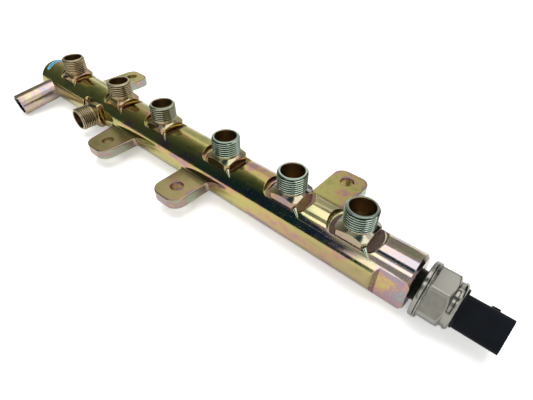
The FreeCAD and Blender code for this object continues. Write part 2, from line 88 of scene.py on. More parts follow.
# Machined surfaces round a stub, measured from the stub's own axis and from the rail's axis
STUB_TOP = 0.0322
RIM_FOOT = 0.0312
THREAD_FOOT = 0.0212
BOSS_TOP = 0.01715
POCKET_FLOOR = 0.0128
SOCKET_FLOOR = 0.013
SOCKET_RADIUS = 0.0076
BOSS_RADIUS = 0.0140
POCKET_RADIUS = 0.0174

# A face's centre this close to a surface lies on it
TOLERANCE = 0.0001

# On the front of the bar only the burrs stand out above this height over the rail's axis
BURR_FOOT = 0.0065

# Milled clamping flat beside the sensor, and the chamfer of the open end
MILLED_START = 0.183
MILLED_OUT = 0.0129
END_CHAMFER = 0.2

# Surfaces of the forging that the plating tells apart, each a mask on the mesh's faces
ZONES = ("rim", "stub", "socket", "boss", "pocket", "milled", "lug", "side")


def linear(code):
    """An sRGB hex colour as the linear red, green and blue that Blender works in."""
    parts = [int(code[place : place + 2], 16) / 255 for place in (1, 3, 5)]
    return tuple(part / 12.92 if part <= 0.04045 else ((part + 0.055) / 1.055) ** 2.4 for part in parts)


def colour_property(name, description, code):
    """A colour that the panel shows, with a hex colour as its default."""
    return bpy.props.FloatVectorProperty(
        name=name, description=description, subtype="COLOR", min=0.0, max=1.0, default=linear(code)
    )


class FuelRailThread(bpy.types.PropertyGroup):
    """Sizes of the screw threads that are cut into the CAD solids."""

    pitch: bpy.props.FloatProperty(
        name="Pitch", description="Distance between neighbouring grooves", default=0.0015875, unit="LENGTH"
    )
    depth: bpy.props.FloatProperty(
        name="Depth", description="Depth of the groove below the crest", default=0.00097, unit="LENGTH"
    )
    half_angle: bpy.props.FloatProperty(
        name="Half angle", description="Angle of a groove's flank", default=math.radians(30), subtype="ANGLE"
    )
    steps: bpy.props.IntProperty(
        name="Steps per turn", description="How finely a turn of the groove is divided", default=48, min=12
    )


class FuelRailSpur(bpy.types.PropertyGroup):
    """Sizes of the burr that the cutter left at the front corner of each outlet's boss."""

    length: bpy.props.FloatProperty(
        name="Length", description="Length from the boss to the burr's point", default=0.0076, unit="LENGTH"
    )
    half_width: bpy.props.FloatProperty(
        name="Half width", description="Half of the burr's width at the boss", default=0.00125, unit="LENGTH"
    )
    rise: bpy.props.FloatProperty(
        name="Rise", description="Height of the burr above the bar", default=0.0008, unit="LENGTH"
    )
    offset: bpy.props.FloatProperty(
        name="Offset", description="Place of its thick end beside the stub", default=0.0099, unit="LENGTH"
    )
    lean: bpy.props.FloatProperty(
        name="Lean",
        description="Angle between the burr and the bar's round",
        default=math.radians(49),
        subtype="ANGLE",
    )


class FuelRailFinish(bpy.types.PropertyGroup):
    """Colours of the finishes."""

    straw: colour_property("Straw", "Main colour of the yellow chromated zinc", "#BDB370")
    olive: colour_property("Olive", "Greener patches of the chromate", "#9A9E5C")
    amber: colour_property("Amber", "Orange interference tint of the chromate", "#CBA672")
    rose: colour_property("Rose", "Pink interference tint of the chromate", "#BC9488")
    mauve: colour_property("Mauve", "Violet interference tint of the chromate", "#A68CA0")
    slate: colour_property("Slate", "Blue-grey interference tint of the chromate", "#94A0A0")
    mint: colour_property("Mint", "Green interference tint of the chromate", "#A2B894")
    # Pale zinc is also painted highlight: it pales the top of the bar near the sensor; on the side tube it
    # is an even paler tint
    pale: colour_property("Pale zinc", "Thin film near the sensor, where the zinc shows through", "#C6CACA")
    # Blush is also painted shade: it darkens the bar's underside near the sensor; on the bosses and front
    # lugs it is their pinkish brown tint
    blush_and_underside_shade: colour_property("Blush", "Pinkish brown film on the bosses, underside and front lugs", "#957C6C")
    pocket: colour_property("Pocket brown", "Darker chromate in the milled pockets", "#6E4438")
    purple: colour_property("Pocket purple", "Violet chromate in the pockets near the sensor", "#5E4450")
    thread: colour_property("Thread silver", "Bright zinc with little chromate on the threads", "#BCD0C0")
    bronze: colour_property("Thread bronze", "Thicker chromate on the threads at the closed end", "#D0C09E")
    # This colour is painted shade in the thread grooves, on the stubs' rims and in the sensor's narrow
    # corners, and it is the dark of the rust specks on the sensor's neck
    shade_and_grime: colour_property("Grime", "Dark film at the bottom of the thread grooves", "#161A14")
    rust: colour_property("Rust", "Specks of rust on the sensor's screw", "#7A4024")
    socket: colour_property("Socket brown", "Oily film inside the pipe sockets", "#A08C6C")
    sensor: colour_property("Sensor steel", "Satin stainless steel of the sensor", "#9A9890")
    polymer: colour_property("Connector black", "Blue-black moulded plastic of the connector", "#060B12")
    paint: colour_property("Marking paint", "Light blue paint of the stroke on the rail", "#66B8DC")
    paint_core: colour_property("Marking paint core", "Darker line inside the paint stroke", "#17434F")


class FuelRailStage(bpy.types.PropertyGroup):
    """Stage, lamps and camera."""

    lamp_power: bpy.props.FloatProperty(
        name="Lamp power", description="Power of the overhead softbox", default=9.0, unit="POWER"
    )
    focal_length: bpy.props.FloatProperty(
        name="Focal length", description="Camera's focal length in millimetres", default=25.66, unit="CAMERA"
    )


def node(tree, kind, inputs=None, output=0, stops=(), **settings):
    """Adds a shader node, makes its settings, links or sets its inputs, and gives one of its outputs.

    An input is named, or numbered where names repeat: a Mix has its two numbers at 2 and 3 and its two
    colours at 6 and 7, and a Map Range takes what lies between 1 and 2 to what lies between 3 and 4.
    """
    made = tree.nodes.new(kind)
    for name, value in settings.items():
        setattr(made, name, value)
    for key, value in (inputs or {}).items():
        if isinstance(value, bpy.types.NodeSocket):
            tree.links.new(value, made.inputs[key])
        else:
            made.inputs[key].default_value = value
    if stops:
        elements = made.color_ramp.elements
        while len(elements) < len(stops):
            elements.new(1.0)
        for element, (place, colour) in zip(elements, stops):
            element.position = place
            element.color = (*colour, 1.0)
    return made.outputs[output] if made.outputs else None


def new_material(name):
    """An empty node material and its tree."""
    material = bpy.data.materials.new(name)
    material.use_nodes = True
    material.node_tree.nodes.clear()
    return material, material.node_tree


def shade(tree, inputs):
    """Ends a material with a Principled shader."""
    shader = node(tree, "ShaderNodeBsdfPrincipled", inputs)
    node(tree, "ShaderNodeOutputMaterial", {"Surface": shader})


def rail_place(tree):
    """Object coordinates in millimetres from a point on the rail's axis."""
    inputs = {
        "Vector": node(tree, "ShaderNodeTexCoord", output="Object"),
        "Location": (0.0, -RAIL_AXIS_Y / MM, -RAIL_AXIS_Z / MM),
        "Scale": (1 / MM, 1 / MM, 1 / MM),
    }
    return node(tree, "ShaderNodeMapping", inputs)


def chromate(tree, place, finish, lift):
    """Colour of a chromate film, which runs from olive over straw, rose and mauve to mint as it thickens."""
    # Patches of the passivation bath are 10 to 30 mm long and half as wide, with a 4 mm mottle in them
    drawn = node(tree, "ShaderNodeMapping", {"Vector": place, "Scale": (0.5, 1.0, 1.0)})
    inputs = {"Vector": drawn, "Scale": 1 / 12.0, "Detail": 3.0, "Roughness": 0.5, "Distortion": 0.5}
    broad = node(tree, "ShaderNodeTexNoise", inputs)
    inputs = {"Vector": place, "Scale": 1 / 4.0, "Detail": 5.0, "Roughness": 0.65, "Distortion": 0.8}
    mottle = node(tree, "ShaderNodeTexNoise", inputs)
    film = node(tree, "ShaderNodeMix", {"Factor": 0.28, 2: broad, 3: mottle}, data_type="FLOAT")
    film = node(tree, "ShaderNodeMath", {0: film, 1: lift}, operation="ADD")
    stops = [
        (0.34, finish.olive),
        (0.45, finish.straw),
        (0.52, finish.straw),
        (0.56, finish.amber),
        (0.60, finish.rose),
        (0.66, finish.mauve),
        (0.72, finish.slate),
        (0.79, finish.mint),
    ]
    return node(tree, "ShaderNodeValToRGB", {"Fac": film}, stops=stops)


def painted(tree, place, colour, finish):
    """The stroke of marking paint over the top of the bar, as a mask and as a colour over another one."""
    # Half width of the stroke and of its core, and its two ends along the bar and round it, in millimetres
    width = 2.3
    core_width = 0.9
    start = Vector((-177.8, -9.6, 0.0))
    stroke = Vector((-181.5, 6.2, 0.0)) - start
    parts = node(tree, "ShaderNodeSeparateXYZ", {"Vector": place}).node.outputs
    turn = node(tree, "ShaderNodeMath", {0: parts["Y"], 1: parts["Z"]}, operation="ARCTAN2")
    arc = node(tree, "ShaderNodeMath", {0: turn, 1: RAIL_RADIUS / MM}, operation="MULTIPLY")
    flat = node(tree, "ShaderNodeCombineXYZ", {"X": parts["X"], "Y": arc})
    offset = node(tree, "ShaderNodeVectorMath", {0: flat, 1: start}, operation="SUBTRACT")
    inputs = {0: offset, 1: stroke / stroke.length_squared}
    share = node(tree, "ShaderNodeVectorMath", inputs, output="Value", operation="DOT_PRODUCT")
    share = node(tree, "ShaderNodeClamp", {"Value": share})
    foot = node(tree, "ShaderNodeVectorMath", {0: stroke, "Scale": share}, operation="SCALE")
    away = node(tree, "ShaderNodeVectorMath", {0: offset, 1: foot}, output="Value", operation="DISTANCE")
    wobble = node(tree, "ShaderNodeTexNoise", {"Vector": place, "Scale": 0.8, "Detail": 2.0})
    away = node(tree, "ShaderNodeMath", {0: wobble, 1: 0.6, 2: away}, operation="MULTIPLY_ADD")
    mask = node(tree, "ShaderNodeMapRange", {"Value": away, 1: width + 0.4, 2: width + 0.2})
    core = node(tree, "ShaderNodeMapRange", {"Value": away, 1: core_width + 0.25, 2: core_width})
    inputs = {"Factor": core, 6: (*finish.paint, 1.0), 7: (*finish.paint_core, 1.0)}
    core = node(tree, "ShaderNodeMix", inputs, output=2, data_type="RGBA")
    colour = node(tree, "ShaderNodeMix", {"Factor": mask, 6: colour, 7: core}, output=2, data_type="RGBA")
    return mask, colour


def film_lift(tree, place, zone):
    """How much thicker the film is on each surface than on the bar, and the swirls of about 2 mm in it."""
    # Along the lugs' edges it is thicker within 4 mm
    inputs = {"Distance": 0.004}
    inner = node(tree, "ShaderNodeAmbientOcclusion", inputs, output="AO", inside=True, samples=8)
    edge = node(tree, "ShaderNodeMapRange", {"Value": inner, 1: 0.95, 2: 0.6})
    edge = node(tree, "ShaderNodeMath", {0: edge, 1: zone["lug"]}, operation="MULTIPLY")
    inputs = {"Vector": place, "Scale": 1 / 2.2, "Detail": 8.0, "Roughness": 0.85, "Distortion": 0.6}
    swirl = node(tree, "ShaderNodeTexNoise", inputs)
    swirl = node(tree, "ShaderNodeMapRange", {"Value": swirl, 1: 0.3, 2: 0.7, 3: -0.13, 4: 0.13})
    mottled = node(tree, "ShaderNodeMath", {0: zone["milled"], 1: zone["side"]}, operation="ADD")
    for mask, share in ((zone["boss"], 0.6), (zone["lug"], 0.4)):
        mottled = node(tree, "ShaderNodeMath", {0: mask, 1: share, 2: mottled}, operation="MULTIPLY_ADD")
    lift = 0.0
    for mask, rise in (
        (edge, 0.14),
        (zone["boss"], 0.06),
        (zone["side"], 0.17),
        (zone["lug"], -0.04),
        (zone["milled"], 0.08),
        (zone["near_end"], 0.05),
        (zone["far_end"], -0.05),
        (mottled, swirl),
    ):
        lift = node(tree, "ShaderNodeMath", {0: mask, 1: rise, 2: lift}, operation="MULTIPLY_ADD")
    return lift, swirl


def plated_colour(tree, place, parts, zone, finish):
    """Colour of the plated forging: the chromate film, with what covers it on some of its surfaces, painted
    highlight and shade among them.
    """
    lift, swirl = film_lift(tree, place, zone)
    colour = chromate(tree, place, finish, lift)

    # Near the sensor a painted highlight pales the bar's top and painted shade browns its underside, and the
    # front lugs are brownish too
    upper = node(tree, "ShaderNodeMapRange", {"Value": parts["Z"], 1: 6.0, 2: 11.0})
    pale = node(tree, "ShaderNodeMapRange", {"Value": parts["X"], 1: 100.0, 2: 185.0, 4: 0.45})
    pale = node(tree, "ShaderNodeMath", {0: pale, 1: upper}, operation="MULTIPLY")
    lower = node(tree, "ShaderNodeMapRange", {"Value": parts["Z"], 1: 9.0, 2: 4.0})
    brown = node(tree, "ShaderNodeMapRange", {"Value": parts["X"], 1: 90.0, 2: 150.0, 4: 0.5})
    brown = node(tree, "ShaderNodeMath", {0: brown, 1: lower}, operation="MULTIPLY")
    bar = node(tree, "ShaderNodeMath", {0: 1.0, 1: zone["milled"]}, operation="SUBTRACT")
    bar = node(tree, "ShaderNodeMath", {0: bar, 1: zone["lug"]}, operation="SUBTRACT")
    pale = node(tree, "ShaderNodeMath", {0: pale, 1: bar}, operation="MULTIPLY")
    brown = node(tree, "ShaderNodeMath", {0: brown, 1: bar}, operation="MULTIPLY")
    front = node(tree, "ShaderNodeMapRange", {"Value": parts["Y"], 1: 14.0, 2: 4.0, 4: 0.4})
    brown = node(tree, "ShaderNodeMath", {0: front, 1: zone["lug"], 2: brown}, operation="MULTIPLY_ADD")
    boss = node(tree, "ShaderNodeMath", {0: zone["boss"], 1: 0.5}, operation="MULTIPLY")

    # The pockets are stained in patches, brown at the closed end and violet near the sensor
    inputs = {"Factor": zone["near_end"], 6: (*finish.pocket, 1.0), 7: (*finish.purple, 1.0)}
    stain = node(tree, "ShaderNodeMix", inputs, output=2, data_type="RGBA")
    stained = node(tree, "ShaderNodeMath", {0: swirl, 1: 3.0, 2: 0.85}, operation="MULTIPLY_ADD")
    stained = node(tree, "ShaderNodeMath", {0: stained, 1: zone["pocket"]}, operation="MULTIPLY")

    # The threads are bronze at the closed end and silver near the sensor, with painted shade darkening their
    # grooves and the stubs' rims
    middle = node(tree, "ShaderNodeMapRange", {"Value": parts["X"], 1: -60.0, 2: 60.0})
    inputs = {"Factor": middle, 6: (*finish.bronze, 1.0), 7: (*finish.thread, 1.0)}
    thread = node(tree, "ShaderNodeMix", inputs, output=2, data_type="RGBA")
    thread_shade = node(tree, "ShaderNodeMapRange", {"Value": zone["groove"], 1: 0.15, 2: 0.5})
    thread_shade_level = node(tree, "ShaderNodeMapRange", {"Value": zone["far_end"], 3: 0.95, 4: 0.55})
    thread_shade = node(tree, "ShaderNodeMath", {0: thread_shade, 1: thread_shade_level}, operation="MULTIPLY")
    thread_shade = node(tree, "ShaderNodeMath", {0: zone["rim"], 1: 0.2, 2: thread_shade}, operation="MULTIPLY_ADD")

    for mask, cover in (
        (pale, (*finish.pale, 1.0)),
        (brown, (*finish.blush_and_underside_shade, 1.0)),
        (boss, (*finish.blush_and_underside_shade, 1.0)),
        (stained, stain),
        (zone["stub"], thread),
        (thread_shade, (*finish.shade_and_grime, 1.0)),
        (zone["socket"], (*finish.socket, 1.0)),
    ):
        inputs = {"Factor": mask, 6: colour, 7: cover}
        colour = node(tree, "ShaderNodeMix", inputs, output=2, data_type="RGBA")
    return colour


def plated_roughness(tree, place, along, zone, paint):
    """Roughness of the plated forging: polished on the bar, duller on what was milled, forged or painted."""
    smear = node(tree, "ShaderNodeTexNoise", {"Vector": place, "Scale": 1 / 5.0, "Detail": 4.0})
    rough = node(tree, "ShaderNodeMapRange", {"Value": smear, 1: 0.3, 2: 0.7, 3: 0.06, 4: 0.14})
    # Specks of dust and polishing marks of about 1 mm, which show in the dark reflections
    inputs = {"Vector": place, "Scale": 1 / 0.9, "Detail": 3.0, "Roughness": 0.7}
    dust = node(tree, "ShaderNodeTexNoise", inputs)
    dust = node(tree, "ShaderNodeMapRange", {"Value": dust, 1: 0.60, 2: 0.72, 4: 0.5})
    # The threads are duller at the closed end, where their film is thick
    thread = node(tree, "ShaderNodeMapRange", {"Value": along, 1: 0.0, 2: -80.0, 3: 0.13, 4: 0.28})
    for mask, level in (
        (dust, 0.55),
        (zone["lug"], 0.30),
        (zone["milled"], 0.24),
        (zone["side"], 0.24),
        (zone["stub"], thread),
        (zone["rim"], 0.42),
        (zone["socket"], 0.30),
        (paint, 0.35),
    ):
        rough = node(tree, "ShaderNodeMix", {"Factor": mask, 2: rough, 3: level}, data_type="FLOAT")
    return rough


def plated_relief(tree, place, zone):
    """Fine relief of the plated forging, over edges that are broken."""
    # Forging skin on the lugs in 1.2 mm grains, and lengthwise polishing marks on the bar
    grain = node(tree, "ShaderNodeTexNoise", {"Vector": place, "Scale": 1 / 1.2, "Detail": 3.0})
    drawn = node(tree, "ShaderNodeMapping", {"Vector": place, "Scale": (0.04, 1.4, 1.4)})
    marks = node(tree, "ShaderNodeTexNoise", {"Vector": drawn, "Scale": 1.0, "Detail": 2.0})
    marks = node(tree, "ShaderNodeMath", {0: marks, 1: 0.15}, operation="MULTIPLY")
    height = node(tree, "ShaderNodeMix", {"Factor": zone["lug"], 2: marks, 3: grain}, data_type="FLOAT")
    # Plated edges are broken by about 0.5 mm, which makes them catch the light, and the threads by less
    inputs = {0: zone["stub"], 1: -0.0005, 2: 0.0005}
    broken = node(tree, "ShaderNodeMath", inputs, operation="MULTIPLY_ADD")
    soft_edge = node(tree, "ShaderNodeBevel", {"Radius": broken}, samples=8)
    inputs = {"Strength": 0.10, "Distance": 0.00008, "Height": height, "Normal": soft_edge}
    return node(tree, "ShaderNodeBump", inputs)


def plated_steel(finish):
    """Yellow chromated zinc on machined forged steel: a bright metal under a thin coloured film."""
    material, tree = new_material("yellow_chromated_steel")
    place = rail_place(tree)
    parts = node(tree, "ShaderNodeSeparateXYZ", {"Vector": place}).node.outputs
    masks = ("groove", *ZONES)
    zone = {name: node(tree, "ShaderNodeAttribute", output="Fac", attribute_name=name) for name in masks}
    zone["near_end"] = node(tree, "ShaderNodeMapRange", {"Value": parts["X"], 1: 60.0, 2: 190.0})
    zone["far_end"] = node(tree, "ShaderNodeMapRange", {"Value": parts["X"], 1: -20.0, 2: -120.0})
    colour = plated_colour(tree, place, parts, zone, finish)
    paint, colour = painted(tree, place, colour, finish)
    rough = plated_roughness(tree, place, parts["X"], zone, paint)
    relief = plated_relief(tree, place, zone)
    metal = node(tree, "ShaderNodeMath", {0: 1.0, 1: paint}, operation="SUBTRACT")
    shade(tree, {"Base Color": colour, "Metallic": metal, "Roughness": rough, "Normal": relief})
    return material


def plated_tube(finish):
    """Yellow chromated zinc on a drawn tube: lengthwise drawing marks under the film."""
    material, tree = new_material("yellow_chromated_tube")
    place = rail_place(tree)
    colour = chromate(tree, place, finish, 0.11)
    inputs = {"Factor": 0.35, 6: colour, 7: (*finish.pale, 1.0)}
    colour = node(tree, "ShaderNodeMix", inputs, output=2, data_type="RGBA")
    drawn = node(tree, "ShaderNodeMapping", {"Vector": place, "Scale": (0.9, 0.03, 0.9)})
    marks = node(tree, "ShaderNodeTexNoise", {"Vector": drawn, "Scale": 1.0, "Detail": 2.0})
    bump = node(tree, "ShaderNodeBump", {"Strength": 0.3, "Distance": 0.0001, "Height": marks})
    smear = node(tree, "ShaderNodeTexNoise", {"Vector": place, "Scale": 1 / 5.0, "Detail": 2.0})
    rough = node(tree, "ShaderNodeMapRange", {"Value": smear, 1: 0.3, 2: 0.7, 3: 0.10, 4: 0.20})
    shade(tree, {"Base Color": colour, "Metallic": 1.0, "Roughness": rough, "Normal": bump})
    return material


def sensor_steel(finish):
    """Turned stainless steel with a satin face: warm grey metal, dark and rusty on the screw's neck, with
    painted shade in its narrow corners.
    """
    material, tree = new_material("satin_turned_stainless_steel")
    place = rail_place(tree)
    cloud = node(tree, "ShaderNodeTexNoise", {"Vector": place, "Scale": 1 / 4.0, "Detail": 4.0})
    darker = tuple(part * 0.93 for part in finish.sensor)
    colour = node(tree, "ShaderNodeValToRGB", {"Fac": cloud}, stops=[(0.35, darker), (0.62, finish.sensor)])

    # Oily rust in the screw's neck, between the rail's end and the flange, in specks of about 1 mm
    along = node(tree, "ShaderNodeSeparateXYZ", {"Vector": place}, output="X")
    neck = node(tree, "ShaderNodeMapRange", {"Value": along, 1: 205.75, 2: 205.6})
    specks = node(tree, "ShaderNodeTexNoise", {"Vector": place, "Scale": 1 / 1.1, "Detail": 3.0})
    stops = [(0.64, finish.shade_and_grime), (0.72, finish.rust)]
    rust = node(tree, "ShaderNodeValToRGB", {"Fac": specks}, stops=stops)
    colour = node(tree, "ShaderNodeMix", {"Factor": neck, 6: colour, 7: rust}, output=2, data_type="RGBA")
    # Painted shade darkens corners that are narrower than about 1.5 mm
    open_side = node(tree, "ShaderNodeAmbientOcclusion", {"Distance": 0.0015}, output="AO", samples=8)
    corner = node(tree, "ShaderNodeMapRange", {"Value": open_side, 1: 0.75, 2: 0.35})
    inputs = {"Factor": corner, 6: colour, 7: (*finish.shade_and_grime, 1.0)}
    colour = node(tree, "ShaderNodeMix", inputs, output=2, data_type="RGBA")
    rough = node(tree, "ShaderNodeMapRange", {"Value": cloud, 1: 0.3, 2: 0.7, 3: 0.12, 4: 0.18})
    rough = node(tree, "ShaderNodeMix", {"Factor": neck, 2: rough, 3: 0.45}, data_type="FLOAT")
    # The shell's pressed edges are round by about 1.2 mm
    soft_edge = node(tree, "ShaderNodeBevel", {"Radius": 0.0012}, samples=8)
    shade(tree, {"Base Color": colour, "Metallic": 1.0, "Roughness": rough, "Normal": soft_edge})
    return material


def plain_metal(name, low, high):
    """Bare or tinned strip metal: a soft cloud of two close tones."""
    material, tree = new_material(name)
    cloud = node(tree, "ShaderNodeTexNoise", {"Vector": rail_place(tree), "Scale": 1 / 2.0, "Detail": 3.0})
    colour = node(tree, "ShaderNodeValToRGB", {"Fac": cloud}, stops=[(0.35, low), (0.65, high)])
    rough = node(tree, "ShaderNodeMapRange", {"Value": cloud, 1: 0.3, 2: 0.7, 3: 0.22, 4: 0.32})
    shade(tree, {"Base Color": colour, "Metallic": 1.0, "Roughness": rough})
    return material


def moulded_polymer(name, low, high, roughness):
    """Moulded plastic, resin or rubber: the fine eroded texture of its mould and a faint cloud."""
    material, tree = new_material(name)
    place = rail_place(tree)
    cloud = node(tree, "ShaderNodeTexNoise", {"Vector": place, "Scale": 1 / 6.0, "Detail": 3.0})
    colour = node(tree, "ShaderNodeValToRGB", {"Fac": cloud}, stops=[(0.3, low), (0.7, high)])
    # Spark-eroded mould grain is about 0.05 mm, drawn at 0.25 mm so that it shows
    grain = node(tree, "ShaderNodeTexNoise", {"Vector": place, "Scale": 1 / 0.25, "Detail": 2.0})
    bump = node(tree, "ShaderNodeBump", {"Strength": 0.12, "Distance": 0.00003, "Height": grain})
    inputs = {"Value": cloud, 1: 0.3, 2: 0.7, 3: roughness - 0.03, 4: roughness + 0.03}
    rough = node(tree, "ShaderNodeMapRange", inputs)
    shade(tree, {"Base Color": colour, "Roughness": rough, "Specular IOR Level": 0.12, "Normal": bump})
    return material


def deselect_all():
    """Leaves edit mode and clears the selection."""
    if bpy.context.mode != "OBJECT":
        bpy.ops.object.mode_set(mode="OBJECT")
    bpy.ops.object.select_all(action="DESELECT")


def pick(thing):
    """Makes one object the only selected and active one."""
    deselect_all()
    thing.select_set(True)
    bpy.context.view_layer.objects.active = thing


def merged_copy(node_name, piece_name):
    """A copy of a CAD node with its loose triangles merged into one skin."""
    source = frame["nodes"][node_name]
    piece = bpy.data.objects.new(piece_name, source.data.copy())
    bpy.context.scene.collection.objects.link(piece)
    pick(piece)
    bpy.ops.mesh.customdata_custom_splitnormals_clear()
    bpy.ops.object.mode_set(mode="EDIT")
    bpy.ops.mesh.select_all(action="SELECT")
    bpy.ops.mesh.remove_doubles(threshold=2e-7)
    bpy.ops.mesh.normals_make_consistent(inside=False)
    bpy.ops.object.mode_set(mode="OBJECT")
    return piece


def thread_groove(name, crest, length, lead_in):
    """A cutter for one screw thread round Z: a V section wound down from above the screw's end."""
    thread = bpy.context.scene.fuel_rail_thread
    # The cutter stands out of the crest a little, and its root is flat as on a standard thread
    clear = 0.00012
    root = crest - thread.depth
    root_half = thread.pitch / 16
    rim_half = root_half + (thread.depth + clear) * math.tan(thread.half_angle)
    deselect_all()
    bpy.ops.mesh.primitive_plane_add(size=1.0, location=(0, 0, 0))
    cutter = bpy.context.object
    cutter.name = name
    # The plane's vertices run row by row
    rim = crest + clear
    section = ((root, -root_half), (rim, -rim_half), (root, root_half), (rim, rim_half))
    for vertex, (out, up) in zip(cutter.data.vertices, section):
        vertex.co = Vector((out, 0, up))
    pick(cutter)
    turns = math.ceil((length + lead_in) / thread.pitch)
    screw = cutter.modifiers.new("wind", "SCREW")
    screw.axis = "Z"
    screw.angle = math.tau
    screw.screw_offset = thread.pitch
    screw.iterations = turns
    screw.steps = thread.steps
    screw.render_steps = thread.steps
    screw.use_merge_vertices = False
    bpy.ops.object.modifier_apply(modifier=screw.name)
    bpy.ops.object.mode_set(mode="EDIT")
    bpy.ops.mesh.select_all(action="SELECT")
    bpy.ops.mesh.remove_doubles(threshold=1e-7)
    bpy.ops.mesh.fill_holes(sides=4)
    bpy.ops.mesh.normals_make_consistent(inside=False)
    bpy.ops.object.mode_set(mode="OBJECT")
    return cutter


def placed_copy(source, name, matrix):
    """A copy of a cutter with its own mesh, moved and turned in its mesh."""
    copy = bpy.data.objects.new(name, source.data.copy())
    copy.data.transform(matrix)
    bpy.context.scene.collection.objects.link(copy)
    return copy


def join(things):
    """Several objects as one."""
    deselect_all()
    for thing in things:
        thing.select_set(True)
    bpy.context.view_layer.objects.active = things[0]
    bpy.ops.object.join()
    return things[0]


def combine(piece, other, operation):
    """Takes another solid away from a piece or adds it, and removes that solid's object."""
    pick(piece)
    boolean = piece.modifiers.new("combine", "BOOLEAN")
    boolean.operation = operation
    boolean.object = other
    boolean.solver = "MANIFOLD"
    before = len(piece.data.polygons)
    bpy.ops.object.modifier_apply(modifier=boolean.name)
    if len(piece.data.polygons) <= before:
        raise RuntimeError(f"{other.name} left {piece.name} as it was")
    bpy.data.objects.remove(other)


def corner_spur(stub_x):
    """A thin burr that runs from a boss's front corner slantwise down the bar and ends in a point."""
    spur = bpy.context.scene.fuel_rail_spur
    deselect_all()
    bpy.ops.mesh.primitive_cone_add(vertices=12, radius1=1.0, radius2=0.0, depth=1.0, end_fill_type="TRIFAN")
    solid = bpy.context.object
    solid.name = "spur"
    bpy.ops.object.mode_set(mode="EDIT")
    bpy.ops.mesh.select_all(action="SELECT")
    bpy.ops.mesh.subdivide(number_cuts=3)
    bpy.ops.object.mode_set(mode="OBJECT")
    # Its foot is sunk into the bar, so that the two solids cut each other cleanly
    sink = 0.00008
    for vertex in solid.data.vertices:
        run = (vertex.co.z + 0.5) * spur.length
        aside = vertex.co.x * spur.half_width
        along = spur.offset + run * math.sin(spur.lean) + aside * math.cos(spur.lean)
        arc = spur.offset + run * math.cos(spur.lean) - aside * math.sin(spur.lean)
        turn = arc / RAIL_RADIUS
        radius = RAIL_RADIUS + vertex.co.y * spur.rise - sink
        height = RAIL_AXIS_Z + radius * math.cos(turn)
        vertex.co = Vector((stub_x + along, RAIL_AXIS_Y - radius * math.sin(turn), height))
    pick(solid)
    bpy.ops.object.mode_set(mode="EDIT")
    bpy.ops.mesh.select_all(action="SELECT")
    bpy.ops.mesh.normals_make_consistent(inside=False)
    bpy.ops.object.mode_set(mode="OBJECT")
    return solid


def finish_skin(piece, source):
    """Smooths a cut piece, and gives the faces that the cutter left alone the CAD node's own normals."""
    pick(piece)
    bpy.ops.object.shade_smooth_by_angle(angle=math.radians(28))
    skin = source.data
    places = KDTree(len(skin.vertices))
    for vertex in skin.vertices:
        places.insert(vertex.co, vertex.index)
    places.balance()
    known = [[] for _ in skin.vertices]
    for polygon in skin.polygons:
        for loop in polygon.loop_indices:
            pair = (polygon.normal.copy(), skin.corner_normals[loop].vector.copy())
            known[skin.loops[loop].vertex_index].append(pair)
    mesh = piece.data
    normals = [corner.vector.copy() for corner in mesh.corner_normals]
    same_place = 2e-6
    same_face = math.cos(math.radians(12))
    for polygon in mesh.polygons:
        for loop in polygon.loop_indices:
            best = same_face
            place = mesh.vertices[mesh.loops[loop].vertex_index].co
            for _, index, _ in places.find_range(place, same_place):
                for face_normal, corner_normal in known[index]:
                    match = face_normal.dot(polygon.normal)
                    if match > best:
                        best = match
                        normals[loop] = corner_normal
    mesh.normals_split_custom_set(normals)


def face_zones(polygon):
    """The machined surfaces that a face of the forging belongs to, and how much of their finish it has."""
    radius, height = stub_place(polygon.center)
    distance = math.hypot(polygon.center.y - RAIL_AXIS_Y, polygon.center.z - RAIL_AXIS_Z)
    out_front = RAIL_AXIS_Y - polygon.center.y
    level = max(polygon.normal.z, -polygon.normal.y) > 0.99
    on_floor = level and abs(height - POCKET_FLOOR) < TOLERANCE and radius < POCKET_RADIUS
    on_wall = abs(radius - POCKET_RADIUS) < TOLERANCE and height > POCKET_FLOOR
    on_burr = distance > RAIL_RADIUS + TOLERANCE and polygon.center.z - RAIL_AXIS_Z > BURR_FOOT
    if radius < SOCKET_RADIUS and height > SOCKET_FLOOR:
        return {"socket": 1.0}
    if radius < BOSS_RADIUS and height > BOSS_TOP:
        on_rim = height > RIM_FOOT and not level
        return {"stub": 0.9 if height > THREAD_FOOT else 0.25, "boss": 1.0, "rim": float(on_rim)}
    if on_floor or (on_wall and distance < BAR_REACH):
        return {"pocket": 0.75, "boss": 1.0}
    if radius < BOSS_RADIUS and height > POCKET_FLOOR:
        return {"boss": 1.0}
    if on_burr and out_front > 0:
        return {"stub": 0.6}
    if distance > BAR_REACH:
        on_side = abs(polygon.normal.z) < 0.5 and not in_lug_hole(polygon.center)
        return {"lug": 1.0, "side": float(on_side)}
    if polygon.center.x > MILLED_START and out_front > MILLED_OUT:
        on_run_out = polygon.normal.x > 0.15
        return {"milled": 1.0, "pocket": 0.75 if on_run_out else 0.0}
    if polygon.center.x > END_CHAMFER and 0.3 < polygon.normal.x < 0.95:
        return {"pocket": 0.85}
    return {}


def mark_zones(piece):
    """Stores on every face which machined surfaces it belongs to."""
    found = [face_zones(polygon) for polygon in piece.data.polygons]
    for name in ZONES:
        values = [zones.get(name, 0.0) for zones in found]
        piece.data.attributes.new(name, "FLOAT", "FACE").data.foreach_set("value", values)


